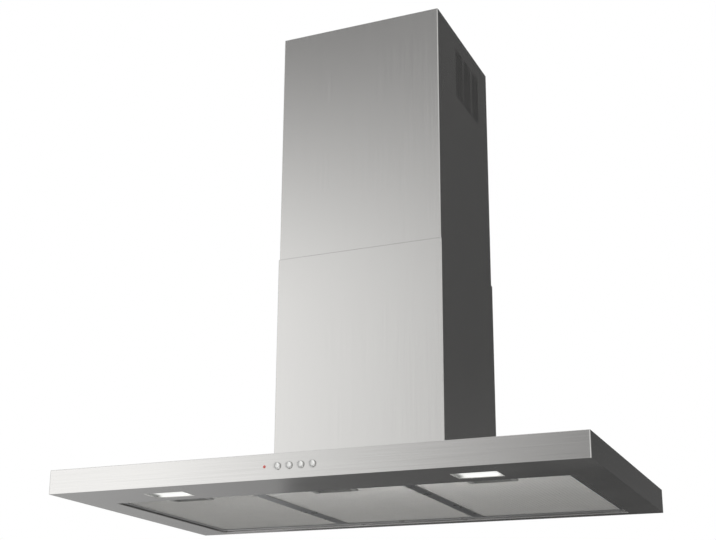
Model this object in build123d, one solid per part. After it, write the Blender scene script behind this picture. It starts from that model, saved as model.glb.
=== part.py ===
from build123d import *
import math
import os

# Wall-mounted chimney range hood. Millimetres, +Z up, the wall is the plane y = 0 and the front
# faces -Y. The origin is the centre of the wall bracket's four holes.

# ---------------------------------------------------------------- driving dimensions

# Canopy: a flat folded box
canopy_width = 900.0
canopy_depth = 528.0
canopy_height = 40.0
sheet = 1.0
bend = 1.0
hang_height = 200.0          # canopy rim to wall fixing centre

# Underside: filter bay and lamp windows
front_strip = 121.0
side_strip = 55.0
rear_strip = 22.0
bay_wall_height = 14.0
pan_flange = 12.0
ledge_reach = 7.0            # rear ledge under the filters' tabs
ledge_height = 8.0

# Grease filters
filter_count = 3
filter_side_gap = 0.35
filter_front_gap = 0.6
filter_rear_gap = 1.0
filter_recess = 2.5
filter_thickness = 9.0
filter_rim = 9.0
filter_web = 1.0
mesh_gap = 0.3
mesh_pitch = 12.0
mesh_sheet = 1.6
mesh_flat_share = 0.35       # share of a pleat that is flat, above and below
tab_width = 30.0
tab_spacing = 150.0
tab_reach = 5.0
tab_thickness = 1.0

# Filter latches
pocket_width = 76.0
pocket_depth = 34.0
pocket_height = 13.5
pocket_wall = 1.5
pocket_end = 7.5             # covered channel at each end, with its spring
bar_depth = 8.0
bar_lift = 0.8
ear_height = 5.0
tongue_width = 20.0
tongue_thickness = 2.0
tongue_bite = 3.0
tongue_lift = 4.0            # filter's face to the tongue
latch_spring_width = 3.0
latch_spring_leaf = 0.4
latch_spring_bend = 0.1
latch_spring_turns = 5

# Lamps
lamp_offset = 263.0
lamp_inset = 73.0            # front face to the window's centre line
lamp_length = 72.0
lamp_width = 42.0
lamp_tray_wall = 1.6
lamp_tray_height = 24.0
lamp_tray_margin = 5.0
lens_fit = 0.3
lens_rebate = 1.6
lens_thickness = 2.0
lens_recess = 3.0
reflector_length = 50.0
reflector_width = 24.0
lamp_board_thickness = 1.6
chip_size = 5.0
chip_height = 0.8
chip_count = 3

# Push-buttons and pilot light
button_count = 4
first_button = -31.0
button_pitch = 19.6
button_radius = 5.7
button_proud = 2.5
button_travel = 2.0
button_lip = 1.3
button_lip_thickness = 1.0
button_edge = 0.6
stem_radius = 2.5
control_height = 20.0        # rim to button axis
indicator_x = -53.0
indicator_radius = 2.4
indicator_proud = 0.8
indicator_step = 0.8         # light pipe and collar, smaller and larger than the dome
housing_margin = 11.0
housing_height = 28.0
housing_depth = 24.0
housing_wall = 1.5
guide_wall_set = 9.0         # back of the front face to the stem guide wall
guide_wall = 2.0
control_board_thickness = 1.6
switch_height = 3.0
switch_radius = 3.0
button_spring_leaf = 0.4
button_spring_height = 8.0
button_spring_span = 13.0

# Chimney
lower_width = 312.0
lower_depth = 292.0
lower_height = 407.0         # canopy top to the joint
chimney_step = 1.5           # the upper section is smaller by this on each outer side
chimney_flange = 20.0
overlap = 78.0
upper_length = 523.0
vent_columns = 3
vent_rows = 20
vent_slot = 41.0
vent_slot_height = 1.6
vent_column_gap = 6.5
vent_row_pitch = 5.0
vent_front = 98.0            # front face of the upper section to the first slot
vent_top = 34.0

# Blower box and its fixings
box_side_gap = 26.0          # chimney's outside to the box
box_front_gap = 30.0
box_rear = 12.0
box_height = 260.0
box_flange = 12.0
air_margin = 6.0             # rim of canopy top left inside the box
outlet_set = 22.0            # middle of the box to the outlet, towards the wall
screw_radius = 2.0
screw_head_radius = 3.5
screw_head = 2.2

# Duct collar and flaps
collar_radius = 75.0
collar_wall = 1.5
collar_height = 45.0
collar_flange = 15.0
stop_ring = 3.0
stop_ring_height = 18.0
flap_pin_radius = 2.0
flap_pin_lift = 2.5
flap_thickness = 1.2
flap_edge_gap = 0.9
knuckle_wall = 1.4
knuckle_length = 18.0
knuckle_inset = 12.6         # middle of the pin to the inner knuckles
knuckle_gap = 1.8
running_gap = 0.05
seat_gap = 0.3

# Scroll, impeller and motor
scroll_set = 90.0            # front of the box to the shaft
scroll_height = 105.0        # canopy top to the shaft
scroll_half_width = 70.0
scroll_wall = 1.5
scroll_radius = 72.0
scroll_step = 11.0
outlet_gap = 22.0            # shaft to the inner outlet wall
inlet_radius = 50.0
inlet_lip = 6.0
cut_off_radius = 4.0
impeller_radius = 62.0
impeller_half_width = 58.0
blade_count = 30
blade_depth = 10.0
blade_thickness = 1.0
blade_sweep = 9.0            # degrees
blade_bow = 3.0              # degrees
impeller_disc = 2.0
hub_radius = 12.0
hub_length = 16.0
shaft_radius = 4.0
shaft_tail = 4.0
motor_radius = 40.0
motor_gap = 5.0
motor_boss_radius = 14.0
motor_boss = 6.0
bracket_thickness = 2.0
bracket_arm_width = 16.0
bracket_arms = 3
bush_radius = 6.0
bush_height = 6.0
bush_groove = 1.8
bush_circle = 63.0

# Wall and ceiling brackets
wall_hole_x = 180.0
wall_hole_z = 80.0
wall_hole_radius = 4.0
wall_bracket_height = 120.0
wall_bracket_margin = 20.0
bracket_sheet = 2.0
bracket_ear = 14.0
safety_hole_x = 400.0
safety_hole_radius = 3.0
ceiling_hole_x = 160.0
ceiling_hole_radius = 3.0
ceiling_bracket_height = 40.0
ceiling_bracket_drop = 12.0
ceiling_bracket_sheet = 1.2
ceiling_bracket_reach = 145.0
ceiling_bend = 0.3

# Chimney angles, terminal box, capacitor, gland
angle_height = 22.0
angle_leg = 9.0
angle_length = 60.0
angle_y = -150.0
terminal_length = 60.0
terminal_width = 36.0
terminal_height = 26.0
terminal_wall = 1.5
terminal_side_inset = 65.0   # canopy's side and front to the terminal box's middle
terminal_front_inset = 58.0
capacitor_radius = 14.0
capacitor_length = 52.0
capacitor_gap = 60.0         # control housing to the capacitor's middle
gland_x = -100.0
gland_y = -36.0
gland_bore = 4.0
gland_hole_gap = 1.5         # the hole under the gland is wider than its bore by this
gland_radius = 9.0
gland_height = 16.0
gland_nut = 6.4
gland_neck_radius = 6.75

# ---------------------------------------------------------------- levels and planes

rim = -hang_height
canopy_top = rim + canopy_height
front = -canopy_depth
lower_top = canopy_top + lower_height
upper_base = lower_top - overlap
upper_top = upper_base + upper_length
box_top = canopy_top + box_height
bay_half = canopy_width / 2 - side_strip
bay_front = front + front_strip
bay_rear = -rear_strip
hinge_y = bay_rear - ledge_reach
hinge_z = rim + ledge_height
filter_base = rim + filter_recess
filter_front = bay_front + filter_front_gap
filter_rear = hinge_y - filter_rear_gap
filter_pitch = 2 * bay_half / filter_count
filter_names = ["left", "middle", "right"]
filter_centres = [(i - (filter_count - 1) / 2) * filter_pitch for i in range(filter_count)]
tongue_z = filter_base + tongue_lift
bar_front = filter_front + filter_web + pocket_wall + seat_gap
pocket_back = filter_front + filter_web + pocket_depth
lamp_y = front + lamp_inset
lens_seat = rim + sheet
button_centres = [first_button + i * button_pitch for i in range(button_count)]
button_z = rim + control_height
guide_y = front + sheet + guide_wall_set
board_y = front + sheet + housing_depth - housing_wall - control_board_thickness
stem_end = board_y - switch_height - button_travel - seat_gap
housing_left = indicator_x - housing_margin
housing_right = button_centres[-1] + housing_margin
box_half_width = lower_width / 2 - box_side_gap
box_front = lower_depth - box_front_gap
outlet_y = outlet_set - (box_front + box_rear) / 2
scroll_y = scroll_set - box_front
shaft_z = canopy_top + scroll_height
collar_pin_z = box_top + stop_ring_height + flap_pin_lift
capacitor_x = housing_left - capacitor_gap
terminal_x = terminal_side_inset - canopy_width / 2
terminal_y = front + terminal_front_inset
upper_width = lower_width - 2 * chimney_step
upper_front = -(lower_depth - chimney_step)
upper_rear = -chimney_step
os.makedirs("parts", exist_ok=True)


# ---------------------------------------------------------------- shapes used by several pieces

def block(x, y, z):
    """Box between (low, high) pairs along each axis."""
    size = Box(x[1] - x[0], y[1] - y[0], z[1] - z[0])
    return Pos((x[0] + x[1]) / 2, (y[0] + y[1]) / 2, (z[0] + z[1]) / 2) * size


def sheet_section(points, thickness, radius):
    """Section of a sheet folded along points; its material lies to the right of the path."""
    path = [Vector(*point) for point in points]
    runs = [(b - a).normalized() for a, b in zip(path, path[1:])]
    normals = [Vector(run.Y, -run.X) for run in runs]
    far = [path[0] + normals[0] * thickness]
    near_radii = []
    far_radii = []
    for i in range(1, len(runs)):
        both = normals[i - 1] + normals[i]
        far.append(path[i] + both * (thickness / (1 + normals[i - 1].dot(normals[i]))))
        left_turn = runs[i - 1].cross(runs[i]).Z > 0
        near_radii.append(radius if left_turn else radius + thickness)
        far_radii.append(radius + thickness if left_turn else radius)
    far.append(path[-1] + normals[-1] * thickness)
    near_edge = FilletPolyline(*path, radius=near_radii)
    far_edge = FilletPolyline(*far, radius=far_radii)
    ends = [Line(path[0], far[0]), Line(path[-1], far[-1])]
    return make_face(near_edge.edges() + far_edge.edges() + ends)


def screw(point, direction, length):
    """Pan-head screw with its head's seat at point and its shank along direction."""
    outline = Polyline(
        (0, length), (screw_radius, length), (screw_radius, 0), (screw_head_radius, 0),
        (screw_head_radius, -screw_head / 2), (screw_radius, -screw_head), (0, -screw_head), (0, length))
    body = revolve(Plane.XZ * make_face(outline), Axis.Z)
    return Plane(origin=point, z_dir=direction) * body


def upright_screw_holes(points):
    """Clear holes for upright screws through the canopy's top and what is fixed to it."""
    hole = Cylinder(screw_radius + running_gap, 8 * sheet)
    return [Pos(x, y, canopy_top) * hole for x, y in points]


# ---------------------------------------------------------------- canopy

def make_canopy_shell():
    """Folded steel box, open below, with an air opening in its top and control holes in front."""
    half = canopy_width / 2
    outer = block((-half, half), (front, 0), (rim, canopy_top))
    outer = fillet(outer.edges().filter_by(Axis.Z), bend + sheet)
    outer = fillet(outer.faces().sort_by(Axis.Z)[-1].edges(), bend)
    inner = block((-half + sheet, half - sheet), (front + sheet, -sheet), (rim, canopy_top - sheet))
    inner = fillet(inner.edges().filter_by(Axis.Z), bend)
    shell = outer - inner
    air_half = box_half_width - air_margin
    shell -= block((-air_half, air_half), (-box_front + air_margin, -box_rear - air_margin),
                   (canopy_top - 2 * sheet, canopy_top + sheet))
    for x in button_centres:
        shell -= Pos(x, front, button_z) * Rot(90, 0, 0) * Cylinder(button_radius + seat_gap, 4 * sheet)
    shell -= Pos(indicator_x, front, button_z) * Rot(90, 0, 0) * Cylinder(indicator_radius, 4 * sheet)
    for side in (-1, 1):
        hole = Pos(side * safety_hole_x / 2, 0, rim + canopy_height / 2) * Rot(90, 0, 0)
        shell -= hole * Cylinder(safety_hole_radius, 4 * sheet)
    return shell - upright_screw_holes(box_screw_points() + angle_screw_points())


def make_underside_panel():
    """Pressed pan that closes the canopy below, with the filter bay's walls, ledge and latch slots."""
    half = canopy_width / 2 - sheet
    pan = block((-half, half), (front + sheet, -sheet), (rim, rim + pan_flange))
    pan = fillet(pan.edges().filter_by(Axis.Z), bend)
    pan -= block((-half + sheet, half - sheet), (front + 2 * sheet, -2 * sheet),
                 (rim + sheet, rim + 2 * pan_flange))
    pan -= block((housing_left, housing_right), (front + sheet, front + 2 * sheet),
                 (rim + sheet, rim + 2 * pan_flange))
    bay = ((-bay_half, bay_half), (bay_front, bay_rear))
    collar = ((-bay_half - sheet, bay_half + sheet), (bay_front - sheet, bay_rear + sheet))
    pan += block(*collar, (rim, rim + bay_wall_height))
    pan -= block(*bay, (rim - sheet, rim + 2 * bay_wall_height))
    pan -= block((-bay_half, bay_half), (bay_rear - sheet, bay_rear + 2 * sheet),
                 (hinge_z, rim + 2 * bay_wall_height))
    pan += block((-bay_half, bay_half), (hinge_y, bay_rear + sheet), (hinge_z - sheet, hinge_z))
    for x in filter_centres:
        slot = tongue_width / 2 + seat_gap
        pan -= block((x - slot, x + slot), (bay_front - 2 * sheet, bay_front + sheet),
                     (tongue_z - seat_gap, tongue_z + tongue_thickness + seat_gap))
    for side in (-1, 1):
        window = block((-lamp_length / 2, lamp_length / 2), (-lamp_width / 2, lamp_width / 2),
                       (rim - sheet, rim + 2 * sheet))
        pan -= Pos(side * lamp_offset, lamp_y, 0) * window
    return pan


# ---------------------------------------------------------------- grease filters

def make_filter_frame(x):
    """Channel frame with two rear tabs and a notch for the latch pocket."""
    half = filter_pitch / 2 - filter_side_gap
    base = filter_base
    top = filter_base + filter_thickness
    frame = block((-half, half), (filter_front, filter_rear), (base, top))
    frame = fillet(frame.edges().filter_by(Axis.Z), bend)
    web = filter_web
    frame -= block((-half + web, half - web), (filter_front + web, filter_rear - web),
                   (base + web, top - web))
    frame -= block((-half + filter_rim, half - filter_rim),
                   (filter_front + filter_rim, filter_rear - filter_rim), (base - web, top + web))
    frame -= block((-pocket_width / 2, pocket_width / 2), (filter_front + web, pocket_back),
                   (base - web, top + web))
    slot = tongue_width / 2 + seat_gap
    frame -= block((-slot, slot), (filter_front - web, filter_front + 2 * web),
                   (tongue_z - seat_gap, tongue_z + tongue_thickness + seat_gap))
    for side in (-1, 1):
        tab = block((-tab_width / 2, tab_width / 2), (filter_rear - web, hinge_y + tab_reach),
                    (hinge_z + seat_gap, hinge_z + seat_gap + tab_thickness))
        frame += Pos(side * tab_spacing / 2, 0, 0) * tab
    return Pos(x, 0, 0) * frame


def make_filter_mesh(x):
    """Pleated aluminium mesh pack held in the frame's channel."""
    half = filter_pitch / 2 - filter_side_gap - filter_web - mesh_gap
    low = filter_base + filter_web + mesh_gap
    high = filter_base + filter_thickness - filter_web - mesh_gap
    count = int(2 * half / mesh_pitch)
    pitch = 2 * half / count
    lower = []
    upper = []
    flat = pitch * mesh_flat_share
    for i in range(count):
        left = -half + i * pitch
        crest = left + pitch / 2
        lower += [(left, low), (left + flat, low)]
        lower += [(crest, high - mesh_sheet), (crest + flat, high - mesh_sheet)]
        upper += [(left, low + mesh_sheet), (left + flat, low + mesh_sheet)]
        upper += [(crest, high), (crest + flat, high)]
    lower.append((half, low))
    upper.append((half, low + mesh_sheet))
    section = make_face(Polyline(*lower, *reversed(upper), lower[0]))
    length = filter_rear - filter_front - 2 * (filter_web + mesh_gap)
    pack = extrude(Plane.XZ.offset(-(filter_rear - filter_web - mesh_gap)) * section, length)
    notch = pocket_width / 2 + mesh_gap
    pack -= block((-notch, notch), (filter_front, pocket_back + mesh_gap), (low - mesh_gap, high + mesh_gap))
    return Pos(x, 0, 0) * pack


def make_latch_pocket(x):
    """Moulded pocket for the fingers, with a covered channel for the bar and a spring at each end."""
    half = pocket_width / 2
    near = filter_front + filter_web
    roof = filter_base + pocket_height
    body = block((-half, half), (near, pocket_back), (filter_base, roof))
    body = fillet(body.edges().filter_by(Axis.Z), 2 * bend)
    inside = (near + pocket_wall, pocket_back - pocket_wall)
    finger = half - pocket_end
    hollow = block((-finger, finger), inside, (filter_base - pocket_wall, roof - pocket_wall))
    body -= fillet(hollow.edges().filter_by(Axis.X), bend)
    body -= block((-half + pocket_wall, half - pocket_wall), inside,
                  (tongue_z - seat_gap, tongue_z + ear_height + seat_gap))
    slot = tongue_width / 2 + seat_gap
    body -= block((-slot, slot), (near - pocket_wall, near + 2 * pocket_wall),
                  (tongue_z - seat_gap, tongue_z + tongue_thickness + seat_gap))
    return Pos(x, 0, 0) * body


def make_latch_handle(x):
    """Pull bar with an ear at each end and the locking tongue in front."""
    finger = pocket_width / 2 - pocket_end - seat_gap
    ear = pocket_width / 2 - pocket_wall - seat_gap
    roof = filter_base + pocket_height - pocket_wall - seat_gap
    bar = block((-finger, finger), (bar_front, bar_front + bar_depth), (filter_base + bar_lift, roof))
    bar = fillet(bar.edges().filter_by(Axis.X), bend)
    bar += block((-ear, ear), (bar_front, bar_front + bar_depth), (tongue_z, tongue_z + ear_height))
    tip = bay_front - tongue_bite
    bar += block((-tongue_width / 2, tongue_width / 2), (tip, bar_front + bar_depth / 2),
                 (tongue_z, tongue_z + tongue_thickness))
    return Pos(x, 0, 0) * bar


def make_latch_spring(x):
    """Two zigzag leaf springs, one behind each ear of the bar."""
    start = bar_front + bar_depth + seat_gap
    finish = pocket_back - pocket_wall - seat_gap
    reach = (finish - start) / latch_spring_turns
    low = -latch_spring_width / 2
    high = latch_spring_width / 2
    points = [(low if i % 2 else high, start + i * reach) for i in range(latch_spring_turns + 1)]
    leaf = extrude(sheet_section(points, latch_spring_leaf, latch_spring_bend), ear_height - 2 * seat_gap)
    middle = pocket_width / 2 - (pocket_end + pocket_wall) / 2
    springs = [Pos(x + side * middle, 0, tongue_z + seat_gap) * leaf for side in (-1, 1)]
    return Compound(springs)


# ---------------------------------------------------------------- lamps

def make_lamp_housing(x):
    """Moulded tray with a tapered reflector and a rebate for the lens."""
    length = lamp_length + 2 * (lens_rebate + lamp_tray_margin)
    width = lamp_width + 2 * (lens_rebate + lamp_tray_margin)
    tray = Pos(0, 0, lens_seat + lamp_tray_height / 2) * Box(length, width, lamp_tray_height)
    tray = fillet(tray.edges().filter_by(Axis.Z), 4 * bend)
    rebate = lens_recess + lens_thickness + lens_fit
    seat = Box(lamp_length + 2 * (lens_rebate + lens_fit), lamp_width + 2 * (lens_rebate + lens_fit), rebate)
    tray -= Pos(0, 0, lens_seat + rebate / 2) * seat
    mouth = Plane.XY.offset(lens_seat + rebate) * Rectangle(lamp_length, lamp_width)
    throat_z = lens_seat + lamp_tray_height - lamp_tray_wall
    throat = Plane.XY.offset(throat_z) * Rectangle(reflector_length, reflector_width)
    tray -= loft([mouth, throat])
    return Pos(x, lamp_y, 0) * tray


def make_lamp_lens(x):
    """Frosted lens with a skirt that stands on the edge of the window."""
    length = lamp_length + 2 * lens_rebate
    width = lamp_width + 2 * lens_rebate
    depth = lens_recess + lens_thickness
    lens = Pos(0, 0, lens_seat + depth / 2) * Box(length, width, depth)
    lens = fillet(lens.edges().filter_by(Axis.Z), bend)
    lens -= Pos(0, 0, lens_seat + lens_recess / 2) * Box(lamp_length - bend, lamp_width - bend, lens_recess)
    return Pos(x, lamp_y, 0) * lens


def make_lamp_board(x):
    """Circuit board at the reflector's throat with a row of light chips facing down."""
    top = lens_seat + lamp_tray_height - lamp_tray_wall
    board = Pos(0, 0, top - lamp_board_thickness / 2) * Box(
        reflector_length - 4 * bend, reflector_width - 4 * bend, lamp_board_thickness)
    step = (reflector_length - 4 * bend) / chip_count
    for i in range(chip_count):
        chip = Box(chip_size, chip_size, chip_height)
        drop = top - lamp_board_thickness - chip_height / 2
        board += Pos((i - (chip_count - 1) / 2) * step, 0, drop) * chip
    return Pos(x, lamp_y, 0) * board


# ---------------------------------------------------------------- push-buttons

def make_control_housing():
    """Moulded housing behind the front face, with a guide wall for the stems and the pilot light."""
    low = button_z - housing_height / 2
    near = front + sheet
    body = block((housing_left, housing_right), (near, near + housing_depth), (low, low + housing_height))
    wall = housing_wall
    width = (housing_left + wall, housing_right - wall)
    height = (low + wall, low + housing_height - wall)
    body -= block(width, (near - wall, guide_y), height)
    body -= block(width, (guide_y + guide_wall, near + housing_depth - wall), height)
    hole = Rot(90, 0, 0) * Cylinder(stem_radius + running_gap, 4 * guide_wall)
    return body - [Pos(x, guide_y, button_z) * hole for x in button_centres]


def make_control_board():
    """Circuit board at the back of the housing with one switch behind each stem."""
    half = housing_height / 2 - housing_wall
    board = block((housing_left + housing_wall, housing_right - housing_wall),
                  (board_y, board_y + control_board_thickness), (button_z - half, button_z + half))
    for x in button_centres:
        switch = Pos(x, board_y - switch_height / 2, button_z) * Rot(90, 0, 0)
        board += switch * Cylinder(switch_radius, switch_height)
    return board


def make_indicator_lens():
    """Domed red lens with a collar behind the front face and a light pipe to the guide wall."""
    dome = front - indicator_proud
    back = front + sheet
    pipe = indicator_radius - indicator_step
    collar = indicator_radius + indicator_step
    curve = (indicator_radius ** 2 + indicator_proud ** 2) / (2 * indicator_proud)
    half_turn = math.asin(indicator_radius / curve) / 2
    crown = (curve * math.sin(half_turn), dome + curve * (1 - math.cos(half_turn)))
    edge = Polyline(
        (0, dome), (0, guide_y), (pipe, guide_y), (pipe, back + 2 * sheet), (collar, back + 2 * sheet),
        (collar, back), (indicator_radius, back), (indicator_radius, front))
    outline = make_face(edge.edges() + [ThreePointArc((indicator_radius, front), crown, (0, dome))])
    return Pos(indicator_x, 0, button_z) * revolve(outline, Axis.Y)


def make_button(x):
    """Turned cap with a retaining lip behind the front face and a guide stem."""
    nose = front - button_proud
    lip = front + sheet + seat_gap
    outline = Polyline(
        (0, nose), (button_radius - button_edge, nose), (button_radius, nose + button_edge),
        (button_radius, lip), (button_radius + button_lip, lip),
        (button_radius + button_lip, lip + button_lip_thickness), (stem_radius, lip + button_lip_thickness),
        (stem_radius, stem_end), (0, stem_end), (0, nose))
    return Pos(x, 0, button_z) * revolve(make_face(outline), Axis.Y)


def make_button_spring(x):
    """Bowed leaf spring between the button's lip and the guide wall, pierced for the stem."""
    crest = front + sheet + 2 * seat_gap + button_lip_thickness
    foot = guide_y - seat_gap
    half = button_spring_span / 2
    leaf = button_spring_leaf
    outer = ThreePointArc((-half, foot), (0, crest), (half, foot))
    inner = ThreePointArc((-half + leaf, foot), (0, crest + leaf), (half - leaf, foot))
    section = make_face([outer, inner, Line(outer @ 0, inner @ 0), Line(outer @ 1, inner @ 1)])
    strip = extrude(section, button_spring_height / 2, both=True)
    strip -= Pos(0, crest, 0) * Rot(90, 0, 0) * Cylinder(stem_radius + seat_gap, 8 * guide_wall)
    return Pos(x, 0, button_z) * strip


# ---------------------------------------------------------------- chimney

def chimney_section(width, near, far, flange, height):
    """U of sheet around the front and sides, with return flanges along the wall."""
    half = width / 2
    points = [
        (half - flange, far), (half, far), (half, near), (-half, near), (-half, far), (-half + flange, far)]
    return extrude(sheet_section(points, sheet, bend), height)


def make_lower_chimney():
    """Wide section that stands on the canopy."""
    return Pos(0, 0, canopy_top) * chimney_section(lower_width, -lower_depth, 0, chimney_flange, lower_height)


def make_upper_chimney():
    """Narrow section that slides in the lower one, with punched vents near its top on both sides."""
    tube = chimney_section(upper_width, upper_front, upper_rear, chimney_flange, upper_length)
    tube = Pos(0, 0, upper_base) * tube
    slots = []
    for column in range(vent_columns):
        near = upper_front + vent_front + column * (vent_slot + vent_column_gap)
        for row in range(vent_rows):
            top = upper_top - vent_top - row * vent_row_pitch
            slots.append(block((-upper_width, upper_width), (near, near + vent_slot),
                               (top - vent_slot_height, top)))
    return tube - slots - ceiling_screw_holes()


def angle_screw_points():
    """Screw places on the angles, two a side."""
    x = lower_width / 2 - 2 * sheet - bend - screw_head_radius
    return [(side * x, angle_y + step) for side in (-1, 1) for step in (-angle_length / 4, angle_length / 4)]


def make_chimney_angles():
    """Two folded angles on the canopy that locate the lower chimney's side walls."""
    wall = lower_width / 2 - sheet
    points = [(wall, canopy_top + angle_height), (wall, canopy_top), (wall - angle_leg, canopy_top)]
    section = sheet_section(points, sheet, bend)
    angle = extrude(Plane.XZ.offset(-(angle_y + angle_length / 2)) * section, angle_length)
    pair = Compound([angle, mirror(angle, Plane.YZ)])
    return pair - upright_screw_holes(angle_screw_points())


def make_chimney_screws():
    """Four screws that hold the angles on the canopy."""
    seats = [(x, y, canopy_top + sheet) for x, y in angle_screw_points()]
    return Compound([screw(seat, (0, 0, -1), 2 * sheet) for seat in seats])


# ---------------------------------------------------------------- blower box

def make_blower_box():
    """Galvanised box, open below, with base flanges, the outlet hole and the gland hole."""
    outer = block((-box_half_width, box_half_width), (-box_front, -box_rear), (canopy_top, box_top))
    outer = fillet(outer.edges().filter_by(Axis.Z), bend + sheet)
    base = block((-box_half_width - box_flange, box_half_width + box_flange),
                 (-box_front - box_flange, -sheet), (canopy_top, canopy_top + sheet))
    inner = block((-box_half_width + sheet, box_half_width - sheet), (-box_front + sheet, -box_rear - sheet),
                  (canopy_top - sheet, box_top - sheet))
    inner = fillet(inner.edges().filter_by(Axis.Z), bend)
    box = outer + base - inner
    box -= Pos(0, outlet_y, box_top) * Cylinder(collar_radius - collar_wall, 4 * sheet)
    box -= Pos(gland_x, gland_y, box_top) * Cylinder(gland_bore + gland_hole_gap, 4 * sheet)
    return box - upright_screw_holes(box_screw_points())


def box_screw_points():
    """Screw places on the base flanges, one in each corner."""
    x = box_half_width + box_flange / 2
    return [(-x, -box_front + box_flange), (x, -box_front + box_flange), (-x, -box_rear - box_flange),
            (x, -box_rear - box_flange)]


def make_box_screws():
    """Four screws that hold the blower box on the canopy."""
    seats = [(x, y, canopy_top + sheet) for x, y in box_screw_points()]
    return Compound([screw(seat, (0, 0, -1), 2 * sheet) for seat in seats])


def make_cable_gland():
    """Moulded gland on the box top with a six-sided nut and a plain bore."""
    nut = extrude(RegularPolygon(gland_radius, 6), gland_nut)
    neck = Pos(0, 0, gland_nut) * extrude(Circle(gland_neck_radius), gland_height - gland_nut)
    neck = fillet(neck.faces().sort_by(Axis.Z)[-1].edges(), bend)
    gland = nut + neck - Pos(0, 0, gland_height / 2) * Cylinder(gland_bore, 2 * gland_height)
    return Pos(gland_x, gland_y, box_top) * gland


# ---------------------------------------------------------------- duct collar and flaps

def make_outlet_collar():
    """Turned collar with a flange below, a bead inside that stops the flaps, and the pin's holes."""
    inner = collar_radius - collar_wall
    wall = collar_wall
    stop = stop_ring_height
    outline = Polyline(
        (inner, 0), (collar_radius + collar_flange, 0), (collar_radius + collar_flange, wall),
        (collar_radius, wall), (collar_radius, collar_height), (inner, collar_height),
        (inner, stop), (inner - stop_ring, stop), (inner - stop_ring, stop - wall), (inner, stop - wall),
        (inner, 0))
    collar = Pos(0, outlet_y, box_top) * revolve(Plane.XZ * make_face(outline), Axis.Z)
    pin = Pos(0, outlet_y, collar_pin_z) * Rot(0, 90, 0)
    return collar - pin * Cylinder(flap_pin_radius, 4 * collar_radius)


def make_flap_pin():
    """Pin across the collar."""
    length = 2 * (collar_radius - seat_gap)
    return Pos(0, outlet_y, collar_pin_z) * Rot(0, 90, 0) * Cylinder(flap_pin_radius, length)


def make_flap(side):
    """Half-round flap with two knuckles on the pin; side is 1 at the wall and -1 in front."""
    reach = collar_radius - collar_wall - flap_edge_gap
    knuckle = flap_pin_radius + running_gap + knuckle_wall
    low = collar_pin_z - flap_pin_lift + seat_gap
    plate = Pos(0, 0, low + flap_thickness / 2) * Cylinder(reach, flap_thickness)
    plate -= block((-2 * reach, 2 * reach), (-2 * reach, knuckle + 2 * seat_gap),
                   (low - flap_thickness, low + 2 * flap_thickness))
    first = knuckle_inset + (0 if side > 0 else knuckle_length + knuckle_gap)
    for hand in (-1, 1):
        x = hand * (first + knuckle_length / 2)
        spans = (x - knuckle_length / 2 + seat_gap, x + knuckle_length / 2 - seat_gap)
        plate += block(spans, (0, knuckle + 3 * seat_gap), (low, low + flap_thickness))
        centre = Pos((spans[0] + spans[1]) / 2, 0, collar_pin_z) * Rot(0, 90, 0)
        plate += centre * Cylinder(knuckle, spans[1] - spans[0])
    plate -= Pos(0, 0, collar_pin_z) * Rot(0, 90, 0) * Cylinder(flap_pin_radius + running_gap, 4 * reach)
    if side < 0:
        plate = mirror(plate, Plane.XZ)
    return Pos(0, outlet_y, 0) * plate


# ---------------------------------------------------------------- scroll, impeller and motor

def scroll_path(spread):
    """Edges of the scroll in the (y, z) plane, spread outwards, and its two ends at the outlet."""
    top = box_top - sheet
    first = (scroll_y, shaft_z)
    second = (first[0] + scroll_step, first[1])
    third = (second[0], second[1] + scroll_step)
    radius = scroll_radius + spread
    crown = shaft_z + radius
    near_wall = scroll_y + outlet_gap - spread
    far_wall = third[0] + radius + 2 * scroll_step
    tongue = FilletPolyline(
        (near_wall, top), (near_wall, crown), (scroll_y, crown), radius=[cut_off_radius - spread])
    edges = tongue.edges() + [
        CenterArc(first, radius, 90, 90),
        CenterArc(second, radius + scroll_step, 180, 90),
        CenterArc(third, radius + 2 * scroll_step, 270, 90),
        Line((far_wall, third[1]), (far_wall, top)),
    ]
    return edges, (near_wall, top), (far_wall, top)


def make_scroll_wrap():
    """Spiral wall with its rounded cut-off and the two outlet walls."""
    inner, inner_near, inner_far = scroll_path(0)
    outer, outer_near, outer_far = scroll_path(scroll_wall)
    section = make_face(inner + outer + [Line(inner_near, outer_near), Line(inner_far, outer_far)])
    return extrude(Plane.YZ * section, scroll_half_width, both=True)


def make_scroll_side(side):
    """Side plate of the scroll with a bell mouth drawn inwards around the inlet."""
    outline, near_end, far_end = scroll_path(scroll_wall)
    face = make_face(outline + [Line(near_end, far_end)])
    plate = extrude(Plane.YZ.offset(scroll_half_width) * face, scroll_wall)
    hole_radius = inlet_radius + inlet_lip
    outside = scroll_half_width + scroll_wall
    shaft = Plane(origin=(0, scroll_y, shaft_z), x_dir=(0, 1, 0), z_dir=(1, 0, 0))
    plate -= shaft * Pos(0, 0, outside) * Cylinder(hole_radius, 4 * scroll_wall)
    turn_in = outside - inlet_lip
    mouth = make_face([
        CenterArc((hole_radius, turn_in), inlet_lip, 90, 90),
        Line((inlet_radius, turn_in), (inlet_radius + scroll_wall, turn_in)),
        CenterArc((hole_radius, turn_in), inlet_lip - scroll_wall, 90, 90),
        Line((hole_radius, outside - scroll_wall), (hole_radius, outside)),
    ])
    plate += shaft * revolve(Plane.XZ * mouth, Axis.Z)
    return plate if side > 0 else mirror(plate, Plane.YZ)


def polar(radius, degrees):
    """Point at this radius and angle."""
    return (radius * math.cos(math.radians(degrees)), radius * math.sin(math.radians(degrees)))


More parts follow.
